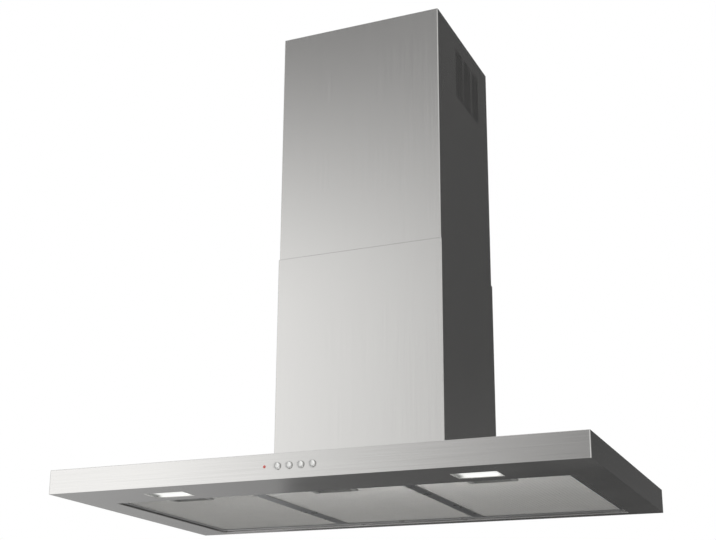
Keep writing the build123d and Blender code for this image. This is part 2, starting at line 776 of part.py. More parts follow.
def make_impeller():
    """Double-inlet wheel: curved blades between two end rings, on a centre disc with a hub."""
    inner = impeller_radius - blade_depth
    middle = impeller_radius - blade_depth / 2
    step = math.degrees(blade_thickness / middle)
    faces = []
    for turn in (0, step):
        faces.append(ThreePointArc(
            polar(inner, turn), polar(middle, turn + blade_sweep / 2 + blade_bow),
            polar(impeller_radius, turn + blade_sweep)))
    ends = [Line(faces[0] @ 0, faces[1] @ 0), Line(faces[0] @ 1, faces[1] @ 1)]
    blade = extrude(make_face(faces + ends), impeller_half_width, both=True)
    ring = Cylinder(impeller_radius, blade_thickness) - Cylinder(inner + blade_depth / 4, 2 * blade_thickness)
    wheel = Cylinder(impeller_radius, impeller_disc)
    wheel += [Rot(0, 0, i * 360 / blade_count) * blade for i in range(blade_count)]
    wheel += [Pos(0, 0, side * (impeller_half_width - blade_thickness / 2)) * ring for side in (-1, 1)]
    wheel += Pos(0, 0, -hub_length / 2) * Cylinder(hub_radius, hub_length)
    wheel -= Cylinder(shaft_radius + running_gap, 4 * hub_length)
    return Plane(origin=(0, scroll_y, shaft_z), x_dir=(0, 1, 0), z_dir=(1, 0, 0)) * wheel


def motor_start():
    """Face of the motor next to the impeller's disc."""
    return impeller_disc / 2 + motor_gap


def motor_end():
    """Face of the motor against its bracket."""
    return scroll_half_width + scroll_wall + bush_height


def make_motor_shaft():
    """Shaft from the hub through the motor's bearings."""
    start = -hub_length - shaft_tail
    length = motor_end() + shaft_tail - start
    return Pos(start + length / 2, scroll_y, shaft_z) * Rot(0, 90, 0) * Cylinder(shaft_radius, length)


def make_motor():
    """Motor with domed end shields, a bearing boss and a bore for the shaft."""
    start = motor_start()
    finish = motor_end()
    step = 2 * motor_boss
    outline = Polyline(
        (0, start), (motor_boss_radius, start), (motor_boss_radius, start + motor_boss / 2),
        (motor_radius - step, start + motor_boss), (motor_radius, start + motor_boss + step / 2),
        (motor_radius, finish - step), (motor_radius - step / 2, finish), (0, finish), (0, start))
    body = revolve(Plane.XZ * make_face(outline), Axis.Z)
    body -= Cylinder(shaft_radius + running_gap, 4 * finish)
    return Plane(origin=(0, scroll_y, shaft_z), x_dir=(0, 1, 0), z_dir=(1, 0, 0)) * body


def make_motor_bracket():
    """Pressed spider that carries the motor on the bushes."""
    spider = Cylinder(motor_radius - motor_boss, bracket_thickness)
    for i in range(bracket_arms):
        arm = Pos(bush_circle / 2, 0, 0) * Box(bush_circle, bracket_arm_width, bracket_thickness)
        arm += Pos(bush_circle, 0, 0) * Cylinder(bracket_arm_width / 2, bracket_thickness)
        spider += Rot(0, 0, i * 360 / bracket_arms) * arm
    spider -= Cylinder(shaft_radius + seat_gap, 4 * bracket_thickness)
    middle = motor_end() + bracket_thickness / 2
    return Plane(origin=(middle, scroll_y, shaft_z), x_dir=(0, 0, -1), z_dir=(1, 0, 0)) * spider


def make_rubber_bushes():
    """Grooved rubber bushes between the scroll's side and the bracket's arms."""
    middle = bush_height / 2
    outline = Polyline(
        (0, 0), (bush_radius, 0), (bush_radius, middle - bush_groove), (bush_radius - bush_groove, middle),
        (bush_radius, middle + bush_groove), (bush_radius, bush_height), (0, bush_height), (0, 0))
    bush = revolve(Plane.XZ * make_face(outline), Axis.Z)
    seat = scroll_half_width + scroll_wall
    place = Plane(origin=(seat, scroll_y, shaft_z), x_dir=(0, 0, -1), z_dir=(1, 0, 0))
    turns = [Rot(0, 0, i * 360 / bracket_arms) for i in range(bracket_arms)]
    return Compound([place * turn * Pos(bush_circle, 0, 0) * bush for turn in turns])


# ---------------------------------------------------------------- brackets and electrics

def hat_section(half, ear_end, depth, thickness, radius):
    """Section of a hat-shaped bracket: web on the wall, legs, and ears at this depth."""
    points = [(-ear_end, -depth), (-half, -depth), (-half, 0), (half, 0), (half, -depth), (ear_end, -depth)]
    return sheet_section(points, thickness, radius)


def make_wall_bracket():
    """Hat-shaped bracket between the wall and the blower box, with the four wall holes."""
    half = wall_hole_x / 2 + wall_bracket_margin
    section = hat_section(half, half + bracket_ear, box_rear - bracket_sheet, bracket_sheet, bend)
    bracket = extrude(section, wall_bracket_height / 2, both=True)
    for x in (-wall_hole_x / 2, wall_hole_x / 2):
        for z in (-wall_hole_z / 2, wall_hole_z / 2):
            bracket -= Pos(x, 0, z) * Rot(90, 0, 0) * Cylinder(wall_hole_radius, 3 * bracket_sheet)
    return bracket


def ceiling_level():
    """Height of the ceiling bracket's middle."""
    return upper_top - ceiling_bracket_drop - ceiling_bracket_height / 2


def ceiling_screw_points():
    """Screw places on the bracket's ears, two a side."""
    x = (ceiling_bracket_reach + upper_width / 2 - chimney_flange) / 2
    z = ceiling_bracket_height / 4
    return [(side * x, ceiling_level() + step) for side in (-1, 1) for step in (-z, z)]


def make_ceiling_bracket():
    """Hat-shaped bracket on the wall that the upper section's return flanges are screwed to."""
    half = upper_width / 2 - chimney_flange - 2 * chimney_step
    depth = chimney_step + sheet
    section = hat_section(half, ceiling_bracket_reach, depth, ceiling_bracket_sheet, ceiling_bend)
    bracket = Pos(0, 0, ceiling_level()) * extrude(section, ceiling_bracket_height / 2, both=True)
    for x in (-ceiling_hole_x / 2, ceiling_hole_x / 2):
        bracket -= Pos(x, 0, ceiling_level()) * Rot(90, 0, 0) * Cylinder(ceiling_hole_radius, 6 * sheet)
    return bracket - ceiling_screw_holes()


def ceiling_screw_holes():
    """Clear holes for the ceiling bracket's screws."""
    hole = Rot(90, 0, 0) * Cylinder(screw_radius + running_gap, 12 * sheet)
    return [Pos(x, 0, z) * hole for x, z in ceiling_screw_points()]


def make_ceiling_screws():
    """Four screws through the bracket's ears into the upper section's flanges."""
    seat = -(chimney_step + sheet + ceiling_bracket_sheet)
    length = ceiling_bracket_sheet + sheet
    return Compound([screw((x, seat, z), (0, 1, 0), length) for x, z in ceiling_screw_points()])


def make_terminal_box():
    """Moulded terminal box with a lid and two cable entries."""
    low = rim + sheet
    body = Pos(0, 0, low + terminal_height / 2) * Box(terminal_length, terminal_width, terminal_height)
    body = fillet(body.edges().filter_by(Axis.Z), 3 * bend)
    lid = Pos(0, 0, low + terminal_height - terminal_wall) * Box(
        terminal_length + 2 * terminal_wall, terminal_width + 2 * terminal_wall, 2 * terminal_wall)
    body += fillet(lid.edges().filter_by(Axis.Z), 3 * bend)
    for side in (-1, 1):
        entry = Pos(terminal_length / 2, side * terminal_width / 4, low + terminal_height / 2) * Rot(0, 90, 0)
        body += entry * Cylinder(gland_bore, 4 * terminal_wall)
    return Pos(terminal_x, terminal_y, 0) * body


def make_capacitor():
    """Motor capacitor: a rolled can that lies on the pan, with its moulded cap and two blades."""
    half = capacitor_length / 2
    outline = Polyline(
        (0, -half), (capacitor_radius - bend, -half), (capacitor_radius, -half + bend),
        (capacitor_radius, half - 3 * bend), (capacitor_radius - bend, half - 2 * bend),
        (capacitor_radius - bend, half), (0, half), (0, -half))
    can = revolve(Plane.XZ * make_face(outline), Axis.Z)
    for side in (-1, 1):
        can += Pos(side * capacitor_radius / 2, 0, half + 2 * sheet) * Box(sheet, 6 * sheet, 4 * sheet)
    return Pos(capacitor_x, lamp_y, rim + sheet + capacitor_radius) * Rot(0, 90, 0) * can


# ---------------------------------------------------------------- export

pieces = {
    "canopy_shell": make_canopy_shell(),
    "underside_panel": make_underside_panel(),
    "control_housing": make_control_housing(),
    "control_board": make_control_board(),
    "indicator_lens": make_indicator_lens(),
    "lower_chimney": make_lower_chimney(),
    "upper_chimney": make_upper_chimney(),
    "chimney_angles": make_chimney_angles(),
    "chimney_screws": make_chimney_screws(),
    "blower_box": make_blower_box(),
    "box_screws": make_box_screws(),
    "cable_gland": make_cable_gland(),
    "outlet_collar": make_outlet_collar(),
    "flap_pin": make_flap_pin(),
    "flap_front": make_flap(-1),
    "flap_rear": make_flap(1),
    "scroll_wrap": make_scroll_wrap(),
    "scroll_side_left": make_scroll_side(-1),
    "scroll_side_right": make_scroll_side(1),
    "impeller": make_impeller(),
    "motor_shaft": make_motor_shaft(),
    "motor": make_motor(),
    "motor_bracket": make_motor_bracket(),
    "rubber_bushes": make_rubber_bushes(),
    "wall_bracket": make_wall_bracket(),
    "ceiling_bracket": make_ceiling_bracket(),
    "ceiling_screws": make_ceiling_screws(),
    "terminal_box": make_terminal_box(),
    "capacitor": make_capacitor(),
}
for name, x in zip(filter_names, filter_centres):
    pieces[f"filter_frame_{name}"] = make_filter_frame(x)
    pieces[f"filter_mesh_{name}"] = make_filter_mesh(x)
    pieces[f"latch_pocket_{name}"] = make_latch_pocket(x)
    pieces[f"latch_handle_{name}"] = make_latch_handle(x)
    pieces[f"latch_spring_{name}"] = make_latch_spring(x)
for name, x in (("left", -lamp_offset), ("right", lamp_offset)):
    pieces[f"lamp_housing_{name}"] = make_lamp_housing(x)
    pieces[f"lamp_lens_{name}"] = make_lamp_lens(x)
    pieces[f"lamp_board_{name}"] = make_lamp_board(x)
for number, x in enumerate(button_centres, start=1):
    pieces[f"button_{number}"] = make_button(x)
    pieces[f"button_spring_{number}"] = make_button_spring(x)

for node, shape in pieces.items():
    export_step(shape, f"parts/{node}.step")
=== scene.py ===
import bpy
import math
from mathutils import Matrix, Vector


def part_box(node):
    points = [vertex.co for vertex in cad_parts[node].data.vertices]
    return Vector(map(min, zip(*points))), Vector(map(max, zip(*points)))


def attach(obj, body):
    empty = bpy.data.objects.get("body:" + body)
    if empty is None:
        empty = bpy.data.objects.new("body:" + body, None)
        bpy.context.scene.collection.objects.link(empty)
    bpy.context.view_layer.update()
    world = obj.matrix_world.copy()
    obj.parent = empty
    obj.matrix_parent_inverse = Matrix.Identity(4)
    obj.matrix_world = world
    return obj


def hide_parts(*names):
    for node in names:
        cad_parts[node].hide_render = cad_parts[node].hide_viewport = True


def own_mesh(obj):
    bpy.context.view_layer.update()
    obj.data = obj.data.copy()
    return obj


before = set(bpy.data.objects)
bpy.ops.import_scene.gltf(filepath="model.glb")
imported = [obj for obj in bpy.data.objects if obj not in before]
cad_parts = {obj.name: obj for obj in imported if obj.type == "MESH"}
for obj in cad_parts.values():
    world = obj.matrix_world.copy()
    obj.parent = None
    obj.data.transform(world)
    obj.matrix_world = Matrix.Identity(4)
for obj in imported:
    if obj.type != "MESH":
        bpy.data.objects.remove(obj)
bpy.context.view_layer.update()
bpy.ops.object.select_all(action="DESELECT")


# ------------------------------------------------------------------ camera
# The photograph's view, from below and from the right of the hood. Its place, turn and focal length were
# worked out from the hood's corners in the photograph. The lens is raised a little, which keeps the
# upright edges nearly parallel.

image_width, image_height = 716, 540
focal_pixels = 1309.29
principal_x, principal_y = 321.30, 312.96    # the pixel that the lens points at
sensor_width = 36.0
camera_place = (0.849210, -2.293332, -0.548762)
yaw, pitch, roll = 0.430192, 0.301643, 0.014020

bpy.ops.object.camera_add(location=camera_place)
camera = bpy.context.object
camera.name = "camera"
camera.matrix_world = (
    Matrix.Translation(camera_place)
    @ Matrix.Rotation(yaw, 4, "Z")
    @ Matrix.Rotation(math.pi / 2 + pitch, 4, "X")
    @ Matrix.Rotation(roll, 4, "Z"))
camera.data.sensor_width = sensor_width
camera.data.lens = focal_pixels / image_width * sensor_width
camera.data.shift_x = (image_width / 2 - principal_x) / image_width
camera.data.shift_y = (principal_y - image_height / 2) / image_width
camera.data.clip_start = 0.05
camera.data.clip_end = 60.0
bpy.context.scene.camera = camera
bpy.context.scene.view_settings.view_transform = "Standard"


# ------------------------------------------------------------------ studio: world, floor, panels, lamps
# A pale floor far below the hood and an even white background. Steel shows what it mirrors, so glowing
# panels that only mirrors see stand in front, behind, at both sides and below. Three soft lamps light
# what isn't metal, such as mouldings and rubber.

def linear(code):
    """Linear colour from an sRGB hex code."""
    parts = [int(code[i:i + 2], 16) / 255 for i in (0, 2, 4)]
    return [part / 12.92 if part <= 0.04045 else ((part + 0.055) / 1.055) ** 2.4 for part in parts]


def add_node(tree, kind, settings=None, links=None):
    """Adds a node; settings are its properties or socket values, links go from sockets to its inputs."""
    node = tree.nodes.new("ShaderNode" + kind)
    for key, value in (settings or {}).items():
        if isinstance(key, int) or (key in node.inputs and not hasattr(node, key)):
            node.inputs[key].default_value = value
        else:
            setattr(node, key, value)
    for key, socket in (links or {}).items():
        tree.links.new(socket, node.inputs[key])
    return node


def new_material(name):
    """Empty material with its node tree and output node."""
    material = bpy.data.materials.new(name)
    material.use_nodes = True
    tree = material.node_tree
    tree.nodes.clear()
    return material, tree, add_node(tree, "OutputMaterial")


def seen_directly(tree):
    """1 for rays that come from the camera, a mirror or glass, else 0."""
    path = add_node(tree, "LightPath")
    mirrored = add_node(tree, "Math", {"operation": "MAXIMUM"}, {
        0: path.outputs["Is Camera Ray"], 1: path.outputs["Is Glossy Ray"]})
    return add_node(tree, "Math", {"operation": "MAXIMUM"}, {
        0: mirrored.outputs[0], 1: path.outputs["Is Transmission Ray"]}).outputs[0]


ambient_level = 0.55
world = bpy.data.worlds.new("studio")
bpy.context.scene.world = world
world.use_nodes = True
tree = world.node_tree
tree.nodes.clear()
output = add_node(tree, "OutputWorld")
ambient = add_node(tree, "Background", {"Color": [*linear("f4f5f6"), 1], "Strength": ambient_level})
white = add_node(tree, "Background", {"Color": (1, 1, 1, 1), "Strength": 1.0})
background = add_node(tree, "MixShader", None, {
    0: seen_directly(tree), 1: ambient.outputs[0], 2: white.outputs[0]})
tree.links.new(background.outputs[0], output.inputs["Surface"])

# The floor is a matt pale grey that keeps the hood's shadow, lifted halfway to white where it is seen.
floor_level = -3.7
floor_size = 30.0
floor_lift = 0.5
bpy.ops.mesh.primitive_plane_add(size=floor_size, location=(0, 0, floor_level))
floor = bpy.context.object
floor.name = "floor"
material, tree, output = new_material("pale_floor")
matt = add_node(tree, "BsdfPrincipled", {"Base Color": [*linear("e9e9e8"), 1], "Roughness": 0.8})
white = add_node(tree, "Emission", {"Color": (1, 1, 1, 1), "Strength": 1.0})
lift = add_node(tree, "Math", {"operation": "MULTIPLY", 1: floor_lift}, {0: seen_directly(tree)})
lifted = add_node(tree, "MixShader", None, {0: lift.outputs[0], 1: matt.outputs[0], 2: white.outputs[0]})
tree.links.new(lifted.outputs[0], output.inputs["Surface"])
floor.data.materials.append(material)


def panel(name, low, high, level=0.0, across=None, upward=None):
    """Flat panel that only mirrors see, thin along one axis. It glows at one level, or across it from
    one (x, level) to the other; upward, as (z, z, level), takes it to a last level between two heights."""
    low, high = Vector(low), Vector(high)
    sides = high - low
    thin = min((0, 1, 2), key=lambda axis: sides[axis])
    bpy.ops.mesh.primitive_plane_add(size=1.0, location=(low + high) / 2)
    made = bpy.context.object
    made.name = name
    made.scale = ((sides.z, sides.y, 1), (sides.x, sides.z, 1), (sides.x, sides.y, 1))[thin]
    made.rotation_euler = ((0, math.pi / 2, 0), (math.pi / 2, 0, 0), (0, 0, 0))[thin]
    made.visible_camera = False
    made.visible_diffuse = False
    made.visible_transmission = False
    made.visible_shadow = False
    material, tree, output = new_material(name)
    glow = add_node(tree, "Emission", {"Color": (1, 1, 1, 1), "Strength": level})
    if across:
        (start, start_level), (end, end_level) = across
        point = add_node(tree, "NewGeometry").outputs["Position"]
        place = add_node(tree, "SeparateXYZ", None, {0: point})
        strength = add_node(tree, "MapRange", {1: start, 2: end, 3: start_level, 4: end_level}, {
            "Value": place.outputs["X"]})
        if upward:
            strength = add_node(tree, "MapRange", {1: upward[0], 2: upward[1], 4: upward[2]}, {
                "Value": place.outputs["Z"], 3: strength.outputs[0]})
        tree.links.new(strength.outputs[0], glow.inputs["Strength"])
    tree.links.new(glow.outputs[0], output.inputs["Surface"])
    made.data.materials.append(material)


front, back, left_end, right_end, foot, top = -4.2, 3.0, -5.2, 5.0, -2.75, 5.0
split = -0.3
sill = -0.1

# In front: bright at the left, fading upwards and to the middle, and brighter again at the right.
panel("panel_front", (left_end, front, foot), (split, front, top),
      across=((-2.55, 1.43), (-0.1, 0.24)), upward=(1.75, 3.15, 0.26))
panel("panel_front_right", (split, front, foot), (4.0, front, top), across=((split, 0.29), (1.2, 0.90)))

# Behind, below the sill, which the underside mirrors: dark in the middle and lighter at both ends.
panel("panel_back_left", (left_end, back, foot), (-1.75, back, sill), across=((-3.0, 0.46), (-1.75, 0.32)))
panel("panel_back", (-1.75, back, foot), (2.3, back, sill), across=((-1.75, 0.125), (split, 0.06)))
panel("panel_back_right", (2.3, back, foot), (right_end, back, sill), across=((2.3, 0.085), (3.3, 0.60)))

# Behind, above the sill: bright at the left, and dark where the hood's right sides mirror it.
panel("panel_back_bright", (left_end, back, sill), (split, back, top), across=((-1.0, 0.75), (split, 0.40)))
panel("panel_back_dark", (split, back, sill), (right_end, back, top),
      across=((3.2, 0.10), (4.4, 0.45)), upward=(0.3, 1.0, 0.07))

# At the sides and below, and a small strong one low in front, which the filters mirror.
panel("panel_right", (right_end, -1.8, foot), (right_end, back, top), level=0.35)
panel("panel_left", (left_end, front, foot), (left_end, back, top), level=0.75)
panel("panel_under", (left_end, -1.2, foot), (right_end, back, foot), across=((-2.4, 0.45), (-1.2, 0.25)))
panel("panel_low", (0.2, -0.98, -0.7), (0.8, -0.8, -0.7), level=11.0)

hood_middle = Vector((0, -0.2, 0.1))


def lamp(name, place, width, power):
    """Square soft lamp aimed at the hood's middle, which mirrors don't see."""
    bpy.ops.object.light_add(type="AREA", location=place)
    made = bpy.context.object
    made.name = name
    made.data.size = width
    made.data.energy = power
    made.visible_glossy = False
    made.rotation_euler = (hood_middle - made.location).to_track_quat("-Z", "Y").to_euler()


lamp("key_lamp", (-2.6, -2.6, 0.5), 2.4, 60.0)
lamp("fill_lamp", (1.6, -1.8, 2.4), 2.0, 25.0)
lamp("rear_lamp", (1.4, 2.8, 1.8), 2.0, 60.0)


# ------------------------------------------------------------------ canopy: folded shell and its pan
# Stainless steel sheet, brushed along the hood's width and along its sides. The grit leaves lines a few
# tenths of a millimetre apart; they are drawn about 1.5 mm apart, so that they still show at this size.

def paint(nodes, material):
    """Gives CAD nodes this material in each of their slots."""
    for node in nodes:
        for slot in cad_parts[node].material_slots:
            slot.material = material


def faces_along(tree, axis):
    """1 where the sheet faces along this axis, else 0."""
    normal = add_node(tree, "NewGeometry").outputs["True Normal"]
    part = add_node(tree, "SeparateXYZ", None, {0: normal}).outputs[axis]
    size = add_node(tree, "Math", {"operation": "ABSOLUTE"}, {0: part}).outputs[0]
    return add_node(tree, "Math", {"operation": "GREATER_THAN", 1: 0.7}, {0: size}).outputs[0]


def brushed_steel(name, brush, code, roughness, contrast):
    """Stainless sheet whose grit lines run along brush, given as x, y and z. Reflections smear across the
    lines, and the sheet waves a little. An upright brush also gets painted shade: its faces that look up or
    down, such as cut edges and the vent slots' walls, are painted near black. Raw cut edges are only a
    little darker than the sheet; the rest of that darkness is painted shade."""
    material, tree, output = new_material(name)
    place = add_node(tree, "TexCoord").outputs["Object"]
    lines_per_metre, ends_per_metre, clouds_per_metre = 650.0, 6.0, 3.0
    scale = [ends_per_metre if way else lines_per_metre for way in brush]
    lines = add_node(tree, "Mapping", {"Scale": scale}, {"Vector": place}).outputs[0]
    if brush[0]:
        side_scale = [lines_per_metre, ends_per_metre, lines_per_metre]
        side_lines = add_node(tree, "Mapping", {"Scale": side_scale}, {"Vector": place}).outputs[0]
        lines = add_node(tree, "Mix", {"data_type": "VECTOR"}, {
            0: faces_along(tree, "X"), 4: lines, 5: side_lines}).outputs[1]
    grit = add_node(tree, "TexNoise", {"Scale": 1.0, "Detail": 3.0, "Roughness": 0.6}, {"Vector": lines})
    clouds = add_node(tree, "TexNoise", {"Scale": clouds_per_metre, "Detail": 1.0}, {"Vector": place})
    both = add_node(tree, "Math", {"operation": "MULTIPLY_ADD", 1: 0.3}, {
        0: clouds.outputs["Fac"], 2: grit.outputs["Fac"]})
    tone = add_node(tree, "MapRange", {1: 0.4, 2: 0.9, 3: 1 - contrast, 4: 1 + contrast}, {
        "Value": both.outputs[0]})
    colour = add_node(tree, "VectorMath", {"operation": "SCALE", 0: linear(code)}, {
        "Scale": tone.outputs[0]}).outputs[0]
    # Painted shade: on an upright brush, faces that look up or down (cut edges, vent slot walls, the
    # joint's chamfer) are painted near black.
    if brush[2]:
        colour = add_node(tree, "Mix", {"data_type": "VECTOR", 5: linear("1c1b1b")}, {
            0: faces_along(tree, "Z"), 4: colour}).outputs[1]
    rough = add_node(tree, "MapRange", {1: 0.3, 2: 0.7, 3: roughness - 0.02, 4: roughness + 0.02}, {
        "Value": grit.outputs["Fac"]})
    waves = add_node(tree, "Bump", {"Strength": 0.4, "Distance": 0.0002}, {"Height": clouds.outputs["Fac"]})
    relief = add_node(tree, "Bump", {"Strength": 0.05, "Distance": 0.0003}, {
        "Height": grit.outputs["Fac"], "Normal": waves.outputs[0]})
    tangent = add_node(tree, "CombineXYZ", {0: brush[0], 1: brush[1], 2: brush[2]})
    shader = add_node(tree, "BsdfPrincipled", {
        "Metallic": 1.0, "Anisotropic": 0.7, "Anisotropic Rotation": 0.25}, {
        "Base Color": colour, "Roughness": rough.outputs[0], "Normal": relief.outputs[0],
        "Tangent": tangent.outputs[0]})
    tree.links.new(shader.outputs[0], output.inputs["Surface"])
    return material


# Its small y part keeps the brush's direction off the normal of the canopy's sides. It also draws the
# pattern out along y, so the top and the underside show no single lines.
across_brush = (1, 0.05, 0)
paint(["canopy_shell", "underside_panel"],
      brushed_steel("stainless_brushed_across", across_brush, "d0cfcd", 0.22, 0.055))


# ------------------------------------------------------------------ lamps: trays, boards and lenses
# White moulded trays hold a small board with light chips behind a frosted polycarbonate lens. The lamps
# are lit: a lens glows most over the chips and fades towards its ends.

def grained(name, code, metallic, roughness, grain, depth, tone=0.04, more=None):
    """Even finish with a grain of this size and depth in metres, coarser than the real one so that it
    shows. Its lightness varies by tone, and its gloss in patches a few centimetres wide; more holds other
    settings of the shader."""
    material, tree, output = new_material(name)
    place = add_node(tree, "TexCoord").outputs["Object"]
    patch = 0.04
    grains = add_node(tree, "TexNoise", {"Scale": 1 / grain, "Detail": 2.0}, {"Vector": place})
    patches = add_node(tree, "TexNoise", {"Scale": 1 / patch, "Detail": 3.0}, {"Vector": place})
    both = add_node(tree, "Math", {"operation": "ADD"}, {
        0: grains.outputs["Fac"], 1: patches.outputs["Fac"]})
    lightness = add_node(tree, "MapRange", {1: 0.7, 2: 1.3, 3: 1 - tone, 4: 1 + tone}, {
        "Value": both.outputs[0]})
    colour = add_node(tree, "VectorMath", {"operation": "SCALE", 0: linear(code)}, {
        "Scale": lightness.outputs[0]})
    rough = add_node(tree, "MapRange", {1: 0.3, 2: 0.7, 3: roughness - 0.04, 4: roughness + 0.05}, {
        "Value": patches.outputs["Fac"]})
    relief = add_node(tree, "Bump", {"Strength": 1.0, "Distance": depth}, {"Height": grains.outputs["Fac"]})
    shader = add_node(tree, "BsdfPrincipled", {"Metallic": metallic, **(more or {})}, {
        "Base Color": colour.outputs[0], "Roughness": rough.outputs[0], "Normal": relief.outputs[0]})
    tree.links.new(shader.outputs[0], output.inputs["Surface"])
    return material


# Off-white and half matt, as thin-walled lamp trays are moulded.
white_moulding = grained("white_moulded_polycarbonate", "e4e4e0", metallic=0.0, roughness=0.4,
                         grain=0.0008, depth=0.00002)
# Green lacquer over copper, with a clear gloss and slightly uneven colour.
solder_mask = grained("green_solder_mask", "2f6b45", metallic=0.0, roughness=0.3, grain=0.0006,
                      depth=0.00001, tone=0.15, more={"Coat Weight": 0.4})
paint(["lamp_housing_left", "lamp_housing_right"], white_moulding)
paint(["lamp_board_left", "lamp_board_right"], solder_mask)

# Milky and matt from its frosting, nearly white over the chips where it glows and grey at its ends. The
# lens's colour is a painted shade: the milky lens is drawn grey, so that its ends, which glow less, look
# dim. The frosting is drawn coarser than it is, so that it shows.
lens_low, lens_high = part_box("lamp_lens_right")
lamp_offset = (lens_low.x + lens_high.x) / 2
bright_half_length, faded_half_length = 0.023, 0.036
lens_glow, end_glow = 0.72, 0.05
frost_per_metre = 1200.0
frosted_lens, tree, output = new_material("frosted_polycarbonate_lens")
place = add_node(tree, "TexCoord").outputs["Object"]
frost = add_node(tree, "TexNoise", {"Scale": frost_per_metre, "Detail": 1.0}, {"Vector": place})
relief = add_node(tree, "Bump", {"Strength": 0.3, "Distance": 0.0002}, {"Height": frost.outputs["Fac"]})
x_place = add_node(tree, "SeparateXYZ", None, {0: place}).outputs["X"]
from_middle = add_node(tree, "Math", {"operation": "ABSOLUTE"}, {0: x_place})
past_lamp = add_node(tree, "Math", {"operation": "SUBTRACT", 1: lamp_offset}, {0: from_middle.outputs[0]})
from_lamp = add_node(tree, "Math", {"operation": "ABSOLUTE"}, {0: past_lamp.outputs[0]})
glow = add_node(tree, "MapRange", {
    "interpolation_type": "SMOOTHSTEP", 1: bright_half_length, 2: faded_half_length, 3: lens_glow,
    4: end_glow}, {"Value": from_lamp.outputs[0]})
shader = add_node(tree, "BsdfPrincipled", {
    "Base Color": [*linear("a9aaa8"), 1], "Roughness": 0.5, "Emission Color": [*linear("fdfdfa"), 1]}, {
    "Normal": relief.outputs[0], "Emission Strength": glow.outputs[0]})
tree.links.new(shader.outputs[0], output.inputs["Surface"])
paint(["lamp_lens_left", "lamp_lens_right"], frosted_lens)


# ------------------------------------------------------------------ controls: housing, board, pilot light
# A black moulded housing behind the front face holds the switch board. The pilot light is one clear red
# moulding, lit from the board, with its dome just proud of the steel.

# Nearly black, with a fine spark-eroded grain that spreads its highlights.
black_moulding = grained("black_moulded_abs", "1f2021", metallic=0.0, roughness=0.5, grain=0.0008,
                         depth=0.00003)
# Polished and wet-looking, and a faint even red from the light behind it.
red_acrylic = grained("red_clear_acrylic", "b8564f", metallic=0.0, roughness=0.15, grain=0.0006,
                      depth=0.000004, tone=0.02, more={
                          "Emission Color": [*linear("ff8070"), 1], "Emission Strength": 0.12,
                          "Coat Weight": 0.6})
paint(["control_housing"], black_moulding)
paint(["control_board"], solder_mask)
paint(["indicator_lens"], red_acrylic)


# ------------------------------------------------------------------ button springs
# A bowed leaf of spring steel under each button's lip, pierced for the stem. It flattens by the button's
# travel; it is made as a piece with its own mesh, copied from the leaf's shape.

def own_copy(node, name, body, material):
    """A merged copy of a CAD node's mesh that replaces it and rides on this body."""
    bpy.ops.object.select_all(action="DESELECT")
    piece = bpy.data.objects.new(name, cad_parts[node].data.copy())
    bpy.context.collection.objects.link(piece)
    piece.data.materials.clear()
    piece.data.materials.append(material)
    bpy.context.view_layer.objects.active = piece
    piece.select_set(True)
    bpy.ops.object.mode_set(mode="EDIT")
    bpy.ops.mesh.select_all(action="SELECT")
    bpy.ops.mesh.remove_doubles(threshold=0.000001)
    bpy.ops.object.mode_set(mode="OBJECT")
    bpy.ops.object.shade_smooth_by_angle(angle=math.radians(30))
    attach(piece, body)
    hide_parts(node)
    return piece


# Cold-rolled strip: a grey, even shine.
spring_steel = grained("spring_steel_strip", "8f9193", metallic=1.0, roughness=0.35, grain=0.001,
                       depth=0.000004)
button_names = ["button_1", "button_2", "button_3", "button_4"]
for button in button_names:
    node = button.replace("button", "button_spring")
    spring = own_copy(node, f"leaf_{node}", "hood", spring_steel)
    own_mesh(spring)


# ------------------------------------------------------------------ push-buttons
# Turned aluminium caps with a rounded rim and a shallow dish that is faced on the lathe. A lip holds each
# cap behind the steel front and a stem guides it.

cap_radius, stem_radius = 0.0057, 0.0025
lip_thickness = 0.001
front_sheet, lip_gap = 0.001, 0.0003
rim_width, rim_round = 0.0012, 0.00035
dish_steps = [(0.0006, 0.00035), (0.0014, 0.00012), (0.0013, 0.00004)]    # width and fall, from the rim in
hair = 0.00001    # places nearer to each other than this are the same


def pick_faces(test):
    """In edit mode, selects the faces whose middle and normal pass this test."""
    bpy.ops.mesh.select_mode(type="FACE")
    bpy.ops.mesh.select_all(action="DESELECT")
    bpy.ops.object.mode_set(mode="OBJECT")
    for face in bpy.context.object.data.polygons:
        face.select = test(face.center, face.normal)
    bpy.ops.object.mode_set(mode="EDIT")


def pick_edges(test):
    """In edit mode, selects the edges whose two ends pass this test."""
    bpy.ops.mesh.select_mode(type="EDGE")
    bpy.ops.mesh.select_all(action="DESELECT")
    bpy.ops.object.mode_set(mode="OBJECT")
    mesh = bpy.context.object.data
    for edge in mesh.edges:
        edge.select = all(test(mesh.vertices[i].co) for i in edge.vertices)
    bpy.ops.object.mode_set(mode="EDIT")


def extrude(move):
    """Extrudes the picked faces by this move."""
    bpy.ops.mesh.extrude_region_move(TRANSFORM_OT_translate={"value": move})


def copy_of(piece, name, move=(0, 0, 0)):
    """A copy of a piece with its own mesh, moved by this much."""
    made = piece.copy()
    made.name = name
    made.data = piece.data.copy()
    made.data.transform(Matrix.Translation(move))
    bpy.context.collection.objects.link(made)
    return made


